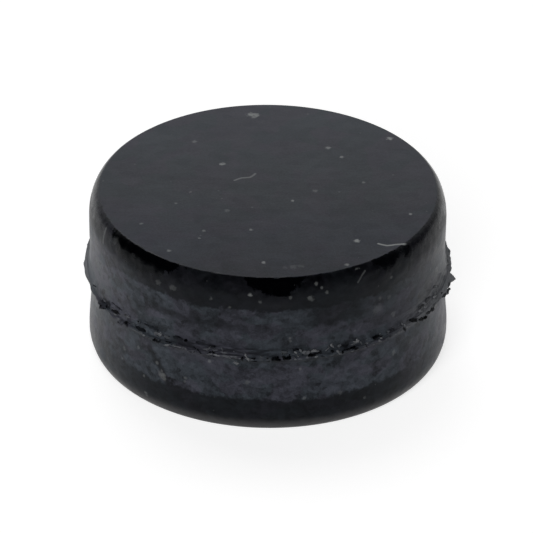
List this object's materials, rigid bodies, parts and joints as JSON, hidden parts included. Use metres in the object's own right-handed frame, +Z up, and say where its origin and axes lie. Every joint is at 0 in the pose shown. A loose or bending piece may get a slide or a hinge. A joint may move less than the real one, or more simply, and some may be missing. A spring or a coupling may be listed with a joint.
{
  "type": "hockey puck",
  "caption": "Small solid moulded rubber puck for table-top hockey, with rounded rims, flat faces and torn flash round its parting line.",
  "frame": {"origin": "middle of the flat underside, which rests on the table", "axes": "+Z up through the puck's axis, +X to the right and +Y to the back when the rim's two largest torn tags are at the right"},
  "size_m": [0.0264, 0.0258, 0.0122],
  "materials": {
    "puck_rubber": "satin moulded black rubber with grey bloom, scuffs and specks of lint",
    "flash_rubber": "torn black rubber, matt and slightly greyer than the moulded skin"
  },
  "bodies": {
    "root": {"puck_body": "puck_rubber", "parting_flash": "flash_rubber"}
  },
  "joints": []
}
